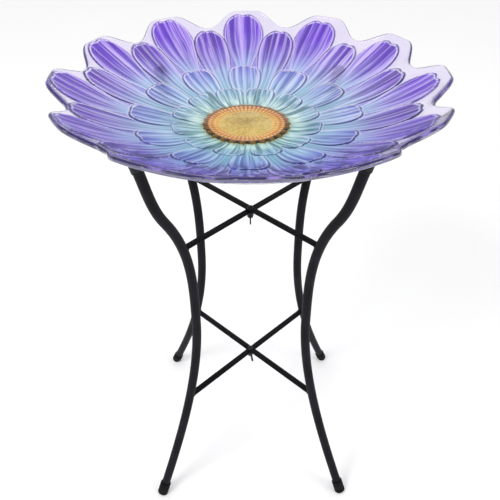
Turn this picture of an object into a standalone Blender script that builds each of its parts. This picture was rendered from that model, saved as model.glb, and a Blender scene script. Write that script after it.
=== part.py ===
"""Bird bath: a flower-shaped glass dish that rests on a black folding stand.

The stand is two flat frames that cross on the centre axis. Each frame is a pair
of bent tube legs joined by two crossbars, and the frames turn on a bolt at each
crossing. The dish lies loose on the caps of the four leg tops.

Metres, +Z up. The origin is on the floor, on the centre axis of the stand.
"""
import math

import bmesh
import bpy
from mathutils import Matrix, Vector

OBJECT_NAME = "flower_bird_bath"
TOUCH_GAP = 0.0003            # left between pieces that bear on each other

# Leg centreline: its radius at a few heights, and its outward slope (dr/dz) there
FOOT_RADIUS = 0.1995          # where the centreline meets the floor
FOOT_SLOPE = -0.468
FOOT_STRAIGHT = 0.030         # height of the straight stretch at the foot
WAIST_RADIUS = 0.1057
WAIST_HEIGHT = 0.3117
SHOULDER_RADIUS = 0.1411
SHOULDER_DROP = 0.0924        # from the tube's top end down to the shoulder
SHOULDER_SLOPE = 0.610
LEG_TOP_HEIGHT = 0.5874       # the tube's top end
LEG_TOP_RADIUS = 0.1720
LEG_TOP_SLOPE = 0.261
LEG_TOP_STRAIGHT = 0.020      # height of the straight stretch at the top
TUBE_DIAMETER = 0.0127
TUBE_WALL = 0.0010

# Caps pushed over the tube ends
FOOT_CAP_WALL = 0.00135
FOOT_CAP_LENGTH = 0.0200
FOOT_CAP_END = 0.0040         # thickness of the closed end
FOOT_CAP_EDGE = 0.0015        # rounding of the closed end
FOOT_FLAT_DEPTH = 0.0020      # how deep the tilted end is worn flat on the floor
TOP_CAP_WALL = 0.00085
TOP_CAP_LENGTH = 0.0150
TOP_CAP_END = 0.0030
TOP_CAP_EDGE = 0.0030

# Crossbars: flat strips, frame A's on top of frame B's
STRIP_WIDTH = 0.0095
STRIP_THICKNESS = 0.0020
UPPER_CROSSING_DROP = 0.1416  # from the tube's top end to the middle of the two strips
LOWER_CROSSING_HEIGHT = 0.1765

# Pivot bolts, washers and wing nuts
BOLT_DIAMETER = 0.0050
BOLT_CLEARANCE = 0.0002       # radial, in the strips, the washer and the wing nut
BOLT_HEAD_DIAMETER = 0.0095
BOLT_HEAD_HEIGHT = 0.0030
BOLT_END = 0.0015             # shank below the wing nut
BOLT_CHAMFER = 0.0005
WASHER_DIAMETER = 0.0130
WASHER_THICKNESS = 0.0010
NUT_SEAT_DIAMETER = 0.0110
NUT_END_DIAMETER = 0.0080
NUT_HEIGHT = 0.0080
WING_THICKNESS = 0.0019
WING_SPAN = 0.0230            # tip to tip
WING_DROP = 0.0145            # from the nut's seat down to the wing tips
WING_TIP_RADIUS = 0.0032
WING_ROOT_TOP = 0.0012        # top of the wing's root, below the nut's seat
UPPER_NUT_TURN = math.radians(90)
LOWER_NUT_TURN = math.radians(110)

# Glass dish
DISH_TIP_RADIUS = 0.2286
DISH_NOTCH_DEPTH = 0.0210     # how far the rim draws in between two petals
DISH_PETALS = 12
LOBE_SHOULDER = 0.25          # where a lobe starts to fall, 0 at its tip and 1 at the notch
LOBE_VALLEY = 0.95            # where it reaches the notch's depth
DISH_TURN = math.radians(0.7)  # of the loose dish on the stand
DISH_DEPTH = 0.0645           # from the rim's tips down to the middle of the basin
DISH_CURVE_POWER = 2.7        # higher makes the middle flatter and the rim steeper
GLASS_THICKNESS = 0.0055
CENTER_DISC_RADIUS = 0.0500   # raised disc in the middle of the basin
CENTER_DISC_HEIGHT = 0.0030
CENTER_DOME_RADIUS = 0.0290   # low dome on that disc
CENTER_DOME_HEIGHT = 0.0025

# Fineness of the round shapes
TUBE_STATIONS = 20            # points along the bent stretch of a leg
TUBE_BEVEL_RESOLUTION = 4
ROUND_STEPS = 16
ARC_STEPS = 4
DISH_STEPS = 96
DISH_RINGS = 12
LOBE_STEPS = 8
DOME_STEPS = 3

MERGE_DISTANCE = 0.00001
CUTTER_REACH = 0.010          # how far a cutter stands past what it cuts

# Worked out from the sizes above
TUBE_RADIUS = TUBE_DIAMETER / 2
CAP_BORE_RADIUS = TUBE_RADIUS + TOUCH_GAP
FOOT_CAP_RADIUS = CAP_BORE_RADIUS + FOOT_CAP_WALL
TOP_CAP_RADIUS = CAP_BORE_RADIUS + TOP_CAP_WALL
SHOULDER_HEIGHT = LEG_TOP_HEIGHT - SHOULDER_DROP
UPPER_CROSSING_HEIGHT = LEG_TOP_HEIGHT - UPPER_CROSSING_DROP
STACK_HALF = STRIP_THICKNESS + TOUCH_GAP / 2
HOLE_RADIUS = BOLT_DIAMETER / 2 + BOLT_CLEARANCE
WASHER_TOP = -(STACK_HALF + TOUCH_GAP)             # below a crossing's middle
NUT_SEAT = WASHER_TOP - WASHER_THICKNESS - TOUCH_GAP

FRAME_A_LEGS = {"back_left": 135, "front_right": 315}     # degrees from +X
FRAME_B_LEGS = {"back_right": 45, "front_left": 225}
CROSSINGS = {"lower": LOWER_CROSSING_HEIGHT, "upper": UPPER_CROSSING_HEIGHT}


# ---------------------------------------------------------------- small tools

def new_collection(name):
    collection = bpy.data.collections.new(name)
    bpy.context.scene.collection.children.link(collection)
    return collection


def new_material(name, color, roughness, metallic=0.0, transmission=0.0):
    material = bpy.data.materials.new(name)
    material.use_nodes = True
    shader = material.node_tree.nodes["Principled BSDF"]
    shader.inputs["Base Color"].default_value = (*color, 1.0)
    shader.inputs["Roughness"].default_value = roughness
    shader.inputs["Metallic"].default_value = metallic
    shader.inputs["Transmission Weight"].default_value = transmission
    return material


def add_object(name, data, collection):
    scene_object = bpy.data.objects.new(name, data)
    collection.objects.link(scene_object)
    return scene_object


def turned(name, profile, steps, collection, closed=False):
    """Turn a profile of (radius, height) points about Z; it runs down the outer side."""
    edges = [(index, index + 1) for index in range(len(profile) - 1)]
    if closed:
        edges.append((len(profile) - 1, 0))
    mesh = bpy.data.meshes.new(name)
    mesh.from_pydata([(radius, 0.0, height) for radius, height in profile], edges, [])
    turned_object = add_object(name, mesh, collection)
    screw = turned_object.modifiers.new("Turn", "SCREW")
    screw.steps = steps
    screw.render_steps = steps
    screw.use_merge_vertices = True
    screw.merge_threshold = MERGE_DISTANCE
    return turned_object


def swept_tube(name, points, radius, collection):
    """A round bar along points in the XZ plane."""
    curve = bpy.data.curves.new(name, "CURVE")
    curve.dimensions = "3D"
    curve.bevel_depth = radius
    curve.bevel_resolution = TUBE_BEVEL_RESOLUTION
    curve.use_fill_caps = True
    spline = curve.splines.new("POLY")
    spline.points.add(len(points) - 1)
    for spline_point, (x, z) in zip(spline.points, points):
        spline_point.co = (x, 0.0, z, 1.0)
    return as_mesh_object(add_object(name, curve, collection), collection)


def flat_plate(name, outline, thickness, collection):
    """A plate of the outline's shape in XY, half its thickness to each side."""
    curve = bpy.data.curves.new(name, "CURVE")
    curve.dimensions = "2D"
    curve.fill_mode = "BOTH"
    curve.extrude = thickness / 2
    spline = curve.splines.new("POLY")
    spline.points.add(len(outline) - 1)
    for spline_point, (x, y) in zip(spline.points, outline):
        spline_point.co = (x, y, 0.0, 1.0)
    spline.use_cyclic_u = True
    return as_mesh_object(add_object(name, curve, collection), collection)


def evaluated_mesh(scene_object, name):
    """The object's mesh with its modifiers applied and its caps welded."""
    depsgraph = bpy.context.evaluated_depsgraph_get()
    mesh = bpy.data.meshes.new_from_object(scene_object.evaluated_get(depsgraph))
    mesh.name = name
    work = bmesh.new()
    work.from_mesh(mesh)
    bmesh.ops.remove_doubles(work, verts=work.verts, dist=MERGE_DISTANCE)
    work.to_mesh(mesh)
    work.free()
    return mesh


def as_mesh_object(source, collection):
    """Replace an object by a plain mesh object of the same name and place."""
    name = source.name
    mesh = evaluated_mesh(source, name)
    matrix = source.matrix_world.copy()
    bpy.data.objects.remove(source, do_unlink=True)
    mesh_object = add_object(name, mesh, collection)
    mesh_object.matrix_world = matrix
    return mesh_object


def combine(target, other, operation):
    boolean = target.modifiers.new(operation.title(), "BOOLEAN")
    boolean.operation = operation
    boolean.object = other
    boolean.solver = "EXACT"


def mark_as_cutter(cutter):
    cutter.hide_render = True
    cutter.display_type = "WIRE"
    return cutter


def shade_round(mesh, degrees=35):
    mesh.shade_smooth()
    mesh.set_sharp_from_angle(angle=math.radians(degrees))


def place(name, mesh, material, collection, height=0.0, turn=0.0, parent=None):
    """Set a finished mesh on the centre axis, turned about it."""
    piece = add_object(name, mesh, collection)
    piece.location = (0.0, 0.0, height)
    piece.rotation_euler = (0.0, 0.0, turn)
    if parent:
        piece.parent = parent
    if not mesh.materials:
        mesh.materials.append(material)
    return piece


def arc(center, radius, start, end, steps=ARC_STEPS):
    """Points on an arc between two angles in degrees, both ends included."""
    angles = [math.radians(start + (end - start) * step / steps) for step in range(steps + 1)]
    return [(center[0] + radius * math.cos(angle), center[1] + radius * math.sin(angle))
            for angle in angles]


# ---------------------------------------------------------------- leg centreline

def cubic_between(low, high, height):
    """Radius on the smooth curve between two (height, radius, slope) stations."""
    span = high[0] - low[0]
    t = (height - low[0]) / span
    return (low[1] * (2 * t**3 - 3 * t**2 + 1) + low[2] * span * (t**3 - 2 * t**2 + t)
            + high[1] * (3 * t**2 - 2 * t**3) + high[2] * span * (t**3 - t**2))


LEG_STATIONS = [
    (FOOT_STRAIGHT, FOOT_RADIUS + FOOT_SLOPE * FOOT_STRAIGHT, FOOT_SLOPE),
    (WAIST_HEIGHT, WAIST_RADIUS, 0.0),
    (SHOULDER_HEIGHT, SHOULDER_RADIUS, SHOULDER_SLOPE),
    (LEG_TOP_HEIGHT - LEG_TOP_STRAIGHT, LEG_TOP_RADIUS - LEG_TOP_SLOPE * LEG_TOP_STRAIGHT,
     LEG_TOP_SLOPE),
]


def leg_radius(height):
    """Distance of a leg's centreline from the centre axis at a height."""
    if height <= LEG_STATIONS[0][0]:
        return FOOT_RADIUS + FOOT_SLOPE * height
    for low, high in zip(LEG_STATIONS, LEG_STATIONS[1:]):
        if height <= high[0]:
            return cubic_between(low, high, height)
    return LEG_TOP_RADIUS + LEG_TOP_SLOPE * (height - LEG_TOP_HEIGHT)


def along_leg(height, slope, distance):
    """The (radius, height) reached from a point of a straight end, going up the leg."""
    up = Vector((slope, 1.0)).normalized()
    return (leg_radius(height) + up.x * distance, height + up.y * distance)


FOOT_TILT = math.atan(-FOOT_SLOPE)
FOOT_END_HEIGHT = ((FOOT_CAP_RADIUS - FOOT_CAP_EDGE) * math.sin(FOOT_TILT)
                   + FOOT_CAP_EDGE * (1 - math.cos(FOOT_TILT)) - FOOT_FLAT_DEPTH)
FOOT_CAP_POINT = along_leg(FOOT_END_HEIGHT, FOOT_SLOPE, 0.0)
TUBE_FOOT_POINT = along_leg(FOOT_END_HEIGHT, FOOT_SLOPE, FOOT_CAP_END + TOUCH_GAP)
TOP_CAP_POINT = along_leg(LEG_TOP_HEIGHT, LEG_TOP_SLOPE, TOP_CAP_END + TOUCH_GAP)


def leg_path(extension=0.0):
    """Points of a leg's centreline from foot to top, in its own plane."""
    foot = along_leg(TUBE_FOOT_POINT[1], FOOT_SLOPE, -extension)
    top = along_leg(LEG_TOP_HEIGHT, LEG_TOP_SLOPE, extension)
    low, high = LEG_STATIONS[0][0], LEG_STATIONS[-1][0]
    heights = [low + (high - low) * step / (TUBE_STATIONS - 1) for step in range(TUBE_STATIONS)]
    return [foot] + [(leg_radius(height), height) for height in heights] + [top]


# ---------------------------------------------------------------- stand pieces

def leg_mesh(work):
    tube = swept_tube("leg_tube", leg_path(), TUBE_RADIUS, work)
    bore = swept_tube("leg_bore", leg_path(CUTTER_REACH), TUBE_RADIUS - TUBE_WALL, work)
    combine(tube, mark_as_cutter(bore), "DIFFERENCE")
    mesh = evaluated_mesh(tube, "leg_tube")
    shade_round(mesh)
    return mesh


def cap_profile(radius, length, end, edge):
    """A cup whose closed, rounded end is at height 0 and whose mouth is at the top."""
    rounding = arc((radius - edge, edge), edge, 0, -90)
    return ([(0.0, end), (CAP_BORE_RADIUS, end), (CAP_BORE_RADIUS, length), (radius, length)]
            + rounding + [(0.0, 0.0)])


def cap_mesh(name, profile, point, tilt, work, cutter=None):
    """A cap set on a leg's end; tilt turns its mouth from straight up."""
    cap = turned(name, profile, ROUND_STEPS, work)
    cap.location = (point[0], 0.0, point[1])
    cap.rotation_euler = (0.0, tilt, 0.0)
    bpy.context.view_layer.update()
    if cutter:
        combine(cap, cutter, "DIFFERENCE")
    mesh = evaluated_mesh(cap, name)
    mesh.transform(cap.matrix_world)
    shade_round(mesh)
    return mesh


def foot_cap_mesh(work):
    floor_size = 2 * (FOOT_RADIUS + FOOT_CAP_LENGTH)
    bpy.ops.mesh.primitive_cube_add(size=1.0, location=(0.0, 0.0, -CUTTER_REACH / 2))
    floor = bpy.context.active_object
    floor.name = "floor_block"
    floor.scale = (floor_size, floor_size, CUTTER_REACH)
    move_to(floor, work)
    profile = cap_profile(FOOT_CAP_RADIUS, FOOT_CAP_LENGTH, FOOT_CAP_END, FOOT_CAP_EDGE)
    return cap_mesh("foot_cap", profile, FOOT_CAP_POINT, math.atan(FOOT_SLOPE), work,
                    mark_as_cutter(floor))


def top_cap_mesh(work):
    profile = cap_profile(TOP_CAP_RADIUS, TOP_CAP_LENGTH, TOP_CAP_END, TOP_CAP_EDGE)
    return cap_mesh("top_cap", profile, TOP_CAP_POINT, math.pi + math.atan(LEG_TOP_SLOPE), work)


def move_to(scene_object, collection):
    for owner in list(scene_object.users_collection):
        owner.objects.unlink(scene_object)
    collection.objects.link(scene_object)


def crossbar_mesh(name, height, work):
    """A flat strip along X between two opposite legs, coped to the tubes."""
    reach = leg_radius(height)
    bpy.ops.mesh.primitive_cube_add(size=1.0, location=(0.0, 0.0, height))
    strip = bpy.context.active_object
    strip.name = f"{name}_blank"
    strip.scale = (2 * reach, STRIP_WIDTH, STRIP_THICKNESS)
    bpy.ops.object.transform_apply(location=True, rotation=False, scale=True)
    move_to(strip, work)
    for side, turn in (("near", 0.0), ("far", math.pi)):
        cope = swept_tube(f"{name}_cope_{side}", leg_path(CUTTER_REACH), TUBE_RADIUS + TOUCH_GAP, work)
        cope.rotation_euler = (0.0, 0.0, turn)
        combine(strip, mark_as_cutter(cope), "DIFFERENCE")
    bpy.ops.mesh.primitive_cylinder_add(vertices=ROUND_STEPS, radius=HOLE_RADIUS,
                                        depth=STRIP_THICKNESS + CUTTER_REACH,
                                        location=(0.0, 0.0, height))
    drill = bpy.context.active_object
    drill.name = f"{name}_drill"
    move_to(drill, work)
    combine(strip, mark_as_cutter(drill), "DIFFERENCE")
    bpy.context.view_layer.update()
    return evaluated_mesh(strip, name)


# ---------------------------------------------------------------- pivot fasteners

def bolt_mesh(work):
    """A round-headed bolt; height 0 is the middle of the crossing."""
    seat = STACK_HALF + TOUCH_GAP
    end = NUT_SEAT - NUT_HEIGHT - BOLT_END
    head, shank = BOLT_HEAD_DIAMETER / 2, BOLT_DIAMETER / 2
    dome = [(head * math.sin(angle), seat + BOLT_HEAD_HEIGHT * math.cos(angle))
            for angle in (math.radians(90 * step / ARC_STEPS) for step in range(ARC_STEPS + 1))]
    profile = dome + [(shank, seat), (shank, end + BOLT_CHAMFER), (shank - BOLT_CHAMFER, end),
                      (0.0, end)]
    mesh = evaluated_mesh(turned("pivot_bolt", profile, ROUND_STEPS, work), "pivot_bolt")
    shade_round(mesh)
    return mesh


def washer_mesh(work):
    outer, bottom = WASHER_DIAMETER / 2, WASHER_TOP - WASHER_THICKNESS
    profile = [(outer, WASHER_TOP), (outer, bottom), (HOLE_RADIUS, bottom), (HOLE_RADIUS, WASHER_TOP)]
    mesh = evaluated_mesh(turned("pivot_washer", profile, ROUND_STEPS, work, closed=True),
                          "pivot_washer")
    shade_round(mesh)
    return mesh


def tangent_angle(point, center, radius, side):
    """Where, in degrees, a line from the point touches the circle."""
    away = Vector(point) - Vector(center)
    return math.degrees(math.atan2(away.y, away.x) + side * math.acos(radius / away.length))


def wing_outline():
    """One wing of the nut, seen from its flat side: a root and a round tip."""
    root = (HOLE_RADIUS + NUT_END_DIAMETER / 2) / 2
    root_top = (root, NUT_SEAT - WING_ROOT_TOP)
    root_bottom = (root, NUT_SEAT - NUT_HEIGHT)
    tip = (WING_SPAN / 2 - WING_TIP_RADIUS, NUT_SEAT - WING_DROP + WING_TIP_RADIUS)
    start = tangent_angle(root_top, tip, WING_TIP_RADIUS, -1)
    end = tangent_angle(root_bottom, tip, WING_TIP_RADIUS, 1)
    while end > start:
        end -= 360
    return [root_top] + arc(tip, WING_TIP_RADIUS, start, end, 2 * ARC_STEPS) + [root_bottom]


def wing_nut_mesh(work):
    """A nut with two wings along X; height 0 is the middle of the crossing."""
    bottom = NUT_SEAT - NUT_HEIGHT
    profile = [(NUT_SEAT_DIAMETER / 2, NUT_SEAT), (NUT_END_DIAMETER / 2, bottom),
               (HOLE_RADIUS, bottom), (HOLE_RADIUS, NUT_SEAT)]
    nut = turned("wing_nut", profile, ROUND_STEPS, work, closed=True)
    for side, turn in (("near", 0.0), ("far", math.pi)):
        wing = flat_plate(f"wing_{side}", wing_outline(), WING_THICKNESS, work)
        wing.matrix_world = Matrix.Rotation(turn, 4, "Z") @ Matrix.Rotation(math.pi / 2, 4, "X")
        combine(nut, mark_as_cutter(wing), "UNION")
    bpy.context.view_layer.update()
    mesh = evaluated_mesh(nut, "wing_nut")
    shade_round(mesh)
    return mesh


# ---------------------------------------------------------------- glass dish

def basin_height(radius):
    """Height of the dish's upper face above the middle of the basin."""
    return DISH_DEPTH * (radius / DISH_TIP_RADIUS) ** DISH_CURVE_POWER


def basin_slope(radius):
    return DISH_DEPTH * DISH_CURVE_POWER / DISH_TIP_RADIUS * (
        radius / DISH_TIP_RADIUS) ** (DISH_CURVE_POWER - 1)


def dish_middle_height():
    """Height of the basin's middle when the dish rests on the four top caps.

    In a leg's plane a cap's inner edge is a circle. The dish's upper face is
    lowered until it is that circle's radius, the gap and the glass away.
    """
    up = Vector((LEG_TOP_SLOPE, 1.0)).normalized()
    inward = Vector((-up.y, up.x))
    center = (Vector(TOP_CAP_POINT) - up * TOP_CAP_EDGE
              + inward * (TOP_CAP_RADIUS - TOP_CAP_EDGE))
    reach = TOP_CAP_EDGE + TOUCH_GAP + GLASS_THICKNESS
    samples = 400
    offsets = [reach * (2 * step / samples - 1) for step in range(samples + 1)]
    return max(center.y + math.sqrt(max(reach**2 - offset**2, 0.0)) - basin_height(center.x + offset)
               for offset in offsets)


def rim_outline():
    """The rim seen from above: one rounded lobe for each petal, a notch between."""
    points = []
    steps = DISH_PETALS * LOBE_STEPS
    for step in range(steps):
        from_tip = abs((step + LOBE_STEPS / 2) % LOBE_STEPS - LOBE_STEPS / 2) / (LOBE_STEPS / 2)
        fall = min(max((from_tip - LOBE_SHOULDER) / (LOBE_VALLEY - LOBE_SHOULDER), 0.0), 1.0)
        radius = DISH_TIP_RADIUS - DISH_NOTCH_DEPTH * fall**2 * (3 - 2 * fall)
        angle = 2 * math.pi * step / steps
        points.append((radius * math.cos(angle), radius * math.sin(angle)))
    return points


def center_profile():
    """The raised disc and its dome, from the axis out to the foot of the disc's side."""
    top = basin_height(CENTER_DISC_RADIUS) + CENTER_DISC_HEIGHT
    dome = [(CENTER_DOME_RADIUS * step / DOME_STEPS,
             top + CENTER_DOME_HEIGHT * (1 - (step / DOME_STEPS) ** 2)) for step in range(DOME_STEPS + 1)]
    return dome + [(CENTER_DISC_RADIUS, top),
                   (CENTER_DISC_RADIUS, basin_height(CENTER_DISC_RADIUS))]


def dish_mesh(work):
    """A turned shell of even thickness, cut to the lobed outline of the rim."""
    blank_radius = DISH_TIP_RADIUS + CUTTER_REACH
    radii = [blank_radius * math.sqrt(ring / DISH_RINGS) for ring in range(DISH_RINGS + 1)]
    face = [(radius, basin_height(radius)) for radius in radii]
    lower = []
    for radius, height in reversed(face):
        along = Vector((1.0, basin_slope(radius))).normalized()
        lower.append((radius + GLASS_THICKNESS * along.y, height - GLASS_THICKNESS * along.x))
    upper = center_profile() + [point for point in face if point[0] > CENTER_DISC_RADIUS]
    blank = turned("dish_blank", upper + lower, DISH_STEPS, work)
    outline = flat_plate("rim_outline", rim_outline(), 4 * DISH_DEPTH, work)
    combine(blank, mark_as_cutter(outline), "INTERSECT")
    mesh = evaluated_mesh(blank, "glass_dish")
    shade_round(mesh)
    return mesh


# ---------------------------------------------------------------- assembly

def build():
    for scene_object in list(bpy.data.objects):
        bpy.data.objects.remove(scene_object, do_unlink=True)
    parts = new_collection(OBJECT_NAME)
    work = new_collection("cutters")

    coated_tube = new_material("black_powder_coat_tube", (0.018, 0.018, 0.021), 0.42, 0.3)
    coated_strip = new_material("black_powder_coat_strip", (0.022, 0.022, 0.025), 0.45, 0.3)
    foot_rubber = new_material("black_foot_rubber", (0.012, 0.012, 0.013), 0.75)
    cap_vinyl = new_material("black_cap_vinyl", (0.015, 0.015, 0.018), 0.55)
    black_bolt = new_material("black_zinc_bolt", (0.03, 0.03, 0.035), 0.35, 0.9)
    black_washer = new_material("black_zinc_washer", (0.035, 0.035, 0.04), 0.40, 0.9)
    black_nut = new_material("black_cast_nut", (0.03, 0.03, 0.032), 0.45, 0.8)
    painted_glass = new_material("painted_glass", (0.42, 0.45, 0.85), 0.08, 0.0, 0.5)

    frame_b = add_object("frame_b_fold_axis", None, parts)
    leg, foot_cap, top_cap = leg_mesh(work), foot_cap_mesh(work), top_cap_mesh(work)
    for legs, parent in ((FRAME_A_LEGS, None), (FRAME_B_LEGS, frame_b)):
        for corner, azimuth in legs.items():
            turn = math.radians(azimuth)
            place(f"leg_{corner}", leg, coated_tube, parts, turn=turn, parent=parent)
            place(f"foot_cap_{corner}", foot_cap, foot_rubber, parts, turn=turn, parent=parent)
            place(f"top_cap_{corner}", top_cap, cap_vinyl, parts, turn=turn, parent=parent)

    bolt, washer, nut = bolt_mesh(work), washer_mesh(work), wing_nut_mesh(work)
    strip_offset = (STRIP_THICKNESS + TOUCH_GAP) / 2
    for level, height in CROSSINGS.items():
        strip_a = crossbar_mesh(f"{level}_crossbar_a", height + strip_offset, work)
        strip_b = crossbar_mesh(f"{level}_crossbar_b", height - strip_offset, work)
        place(f"{level}_crossbar_a", strip_a, coated_strip, parts,
              turn=math.radians(FRAME_A_LEGS["front_right"]))
        place(f"{level}_crossbar_b", strip_b, coated_strip, parts,
              turn=math.radians(FRAME_B_LEGS["back_right"]), parent=frame_b)
        place(f"{level}_pivot_bolt", bolt, black_bolt, parts, height)
        place(f"{level}_pivot_washer", washer, black_washer, parts, height)
        nut_turn = UPPER_NUT_TURN if level == "upper" else LOWER_NUT_TURN
        place(f"{level}_wing_nut", nut, black_nut, parts, height, nut_turn)

    place("glass_dish", dish_mesh(work), painted_glass, parts, dish_middle_height(), DISH_TURN)
    for leftover in list(work.objects):
        if not leftover.hide_render:
            bpy.data.objects.remove(leftover, do_unlink=True)


build()
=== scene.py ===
"""Bird bath: the looks of a painted glass flower dish on a black folding stand.

Metres, +Z up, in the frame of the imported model; -Y is the front.
"""
import math

import bpy
import numpy as np
from mathutils import Matrix, Vector


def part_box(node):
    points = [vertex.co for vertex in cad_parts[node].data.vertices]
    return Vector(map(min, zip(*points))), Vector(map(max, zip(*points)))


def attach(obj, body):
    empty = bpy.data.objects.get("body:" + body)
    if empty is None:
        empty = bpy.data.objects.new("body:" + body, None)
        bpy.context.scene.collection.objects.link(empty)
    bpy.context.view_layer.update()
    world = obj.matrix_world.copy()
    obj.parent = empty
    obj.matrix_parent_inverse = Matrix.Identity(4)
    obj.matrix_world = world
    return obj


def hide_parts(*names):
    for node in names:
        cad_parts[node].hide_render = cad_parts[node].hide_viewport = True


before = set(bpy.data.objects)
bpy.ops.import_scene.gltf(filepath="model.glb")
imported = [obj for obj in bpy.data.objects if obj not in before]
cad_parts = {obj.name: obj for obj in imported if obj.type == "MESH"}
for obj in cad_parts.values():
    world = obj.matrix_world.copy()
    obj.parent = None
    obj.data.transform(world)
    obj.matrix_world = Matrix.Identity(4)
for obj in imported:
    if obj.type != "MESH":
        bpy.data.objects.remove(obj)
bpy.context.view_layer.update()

scene = bpy.context.scene
MM = 0.001


# ---------------------------------------------------------------- values in shaders

class Field:
    """A value in a shader's node tree. The petal formulas run on these as on numpy arrays."""

    def __init__(self, tree, socket):
        self.tree, self.socket = tree, socket

    def __add__(self, other):
        return apply("ADD", self, other)

    def __radd__(self, other):
        return apply("ADD", other, self)

    def __sub__(self, other):
        return apply("SUBTRACT", self, other)

    def __rsub__(self, other):
        return apply("SUBTRACT", other, self)

    def __mul__(self, other):
        return apply("MULTIPLY", self, other)

    def __rmul__(self, other):
        return apply("MULTIPLY", other, self)

    def __truediv__(self, other):
        return apply("DIVIDE", self, other)


ON_ARRAYS = {
    "ABSOLUTE": np.abs, "SINE": np.sin, "COSINE": np.cos, "ROUND": np.round,
    "MINIMUM": np.minimum, "MAXIMUM": np.maximum, "POWER": np.power,
    "ARCTAN2": np.arctan2,
    "WRAP": lambda value, high, low: (value - low) % (high - low) + low,
}


def is_field(*values):
    return any(isinstance(value, Field) for value in values)


def connect(tree, value, socket):
    """Put a number, a Field or an output socket on an input socket."""
    if isinstance(value, Field):
        tree.links.new(value.socket, socket)
    elif isinstance(value, bpy.types.NodeSocket):
        tree.links.new(value, socket)
    else:
        socket.default_value = value


def apply(operation, *values):
    """One mathematical step, on numpy arrays or as a Math node."""
    if not is_field(*values):
        return ON_ARRAYS[operation](*values)
    tree = next(value.tree for value in values if isinstance(value, Field))
    node = tree.nodes.new("ShaderNodeMath")
    node.operation = operation
    for value, socket in zip(values, node.inputs):
        connect(tree, value, socket)
    return Field(tree, node.outputs[0])


def smooth(value, start, end):
    """0 before start, 1 after end, with a smooth step between them."""
    if not is_field(value, start, end):
        share = np.clip((value - start) / (end - start), 0.0, 1.0)
        return share * share * (3.0 - 2.0 * share)
    tree = value.tree
    node = tree.nodes.new("ShaderNodeMapRange")
    node.interpolation_type = "SMOOTHSTEP"
    connect(tree, value, node.inputs["Value"])
    connect(tree, start, node.inputs["From Min"])
    connect(tree, end, node.inputs["From Max"])
    return Field(tree, node.outputs["Result"])


def between(low, high, share):
    return low + (high - low) * share


# ---------------------------------------------------------------- the flower on the glass

# Rings of twelve petals, from the rim inwards: lengths in mm from the flower's middle, angles
# in degrees. root and neck are where and how narrow (of half_width) a petal starts; belly is
# its widest point; dip is the dent in its tip; step is how far its tip stands above what it
# overlaps; a higher blunt makes its tip squarer.
RINGS = (
    dict(phase=0, root=128.0, belly=192.0, tip=222.5, half_width=27.5,
         neck=0.36, dip=2.6, step=1.5, blunt=2.2),
    dict(phase=15, root=96.0, belly=171.0, tip=201.0, half_width=22.5,
         neck=0.50, dip=2.0, step=1.6, blunt=2.2),
    dict(phase=0, root=66.0, belly=117.0, tip=138.0, half_width=21.5,
         neck=0.58, dip=1.0, step=1.6, blunt=2.7),
    dict(phase=15, root=52.0, belly=79.0, tip=90.5, half_width=17.0,
         neck=0.74, dip=0.6, step=1.3, blunt=2.7),
)
SECTOR = math.radians(30)
DISC_RADIUS = 52.5
DISC_HEIGHT = 3.0
DOME_RADIUS = 31.0
DOME_HEIGHT = 2.5
DISC_TEETH = 26
TOOTH_DEPTH = 2.2
DISC_RIBS = 52
FRINGE_RADIUS = 75.0
FRINGE_STROKES = 40
FLOWER_OFFSET = 4.8       # the flower's middle lies this far left of the dish's
DISC_OFFSET = 5.5         # and the middle of its disc this far nearer the front


def from_flower_center(x, y):
    """Distance in mm and angle from the flower's middle, for a point in mm from the dish's."""
    away = apply("POWER", x * x + y * y, 0.5)
    x = x + FLOWER_OFFSET
    y = y + DISC_OFFSET * smooth(away, 88.0, 54.0)
    return apply("POWER", x * x + y * y, 0.5), apply("ARCTAN2", y, x)


def petal_at(radius, angle, ring):
    """Where a point lies in its petal of a ring.

    Gives the distance inside the outline in mm, the place across it (-1 to 1), the
    place along it (0 at the root, 1 at the tip) and the number of the petal.
    """
    phase = math.radians(ring["phase"])
    turn = apply("WRAP", angle - phase, SECTOR / 2, -SECTOR / 2)
    across = radius * apply("SINE", turn)
    along = radius * apply("COSINE", turn)
    away = apply("ABSOLUTE", across)
    end = between(ring["tip"] - ring["dip"], ring["tip"], smooth(away, 0.0, ring["half_width"] * 0.34))
    half = ring["half_width"] * between(ring["neck"], 1.0, smooth(along, ring["root"], ring["belly"]))
    side = away / half
    front = apply("MAXIMUM", (along - ring["belly"]) / (end - ring["belly"]), 0.0)
    reach = apply("POWER", apply("POWER", side, ring["blunt"])
                  + apply("POWER", front, ring["blunt"]), 1 / ring["blunt"])
    inset = (1.0 - reach) * ring["half_width"]
    lean = across / half
    share = (along - ring["root"]) / (ring["tip"] - ring["root"])
    number = (angle - phase - turn) * (1 / SECTOR)
    return inset, lean, share, number


def disc_teeth(angle):
    """1 at the tips of the teeth on the disc's edge, and 0 between them."""
    return 0.5 + 0.5 * apply("COSINE", angle * DISC_TEETH)


def disc_edge(angle):
    """Radius in mm of the disc's toothed edge."""
    return DISC_RADIUS - TOOTH_DEPTH * (1.0 - disc_teeth(angle))


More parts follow.
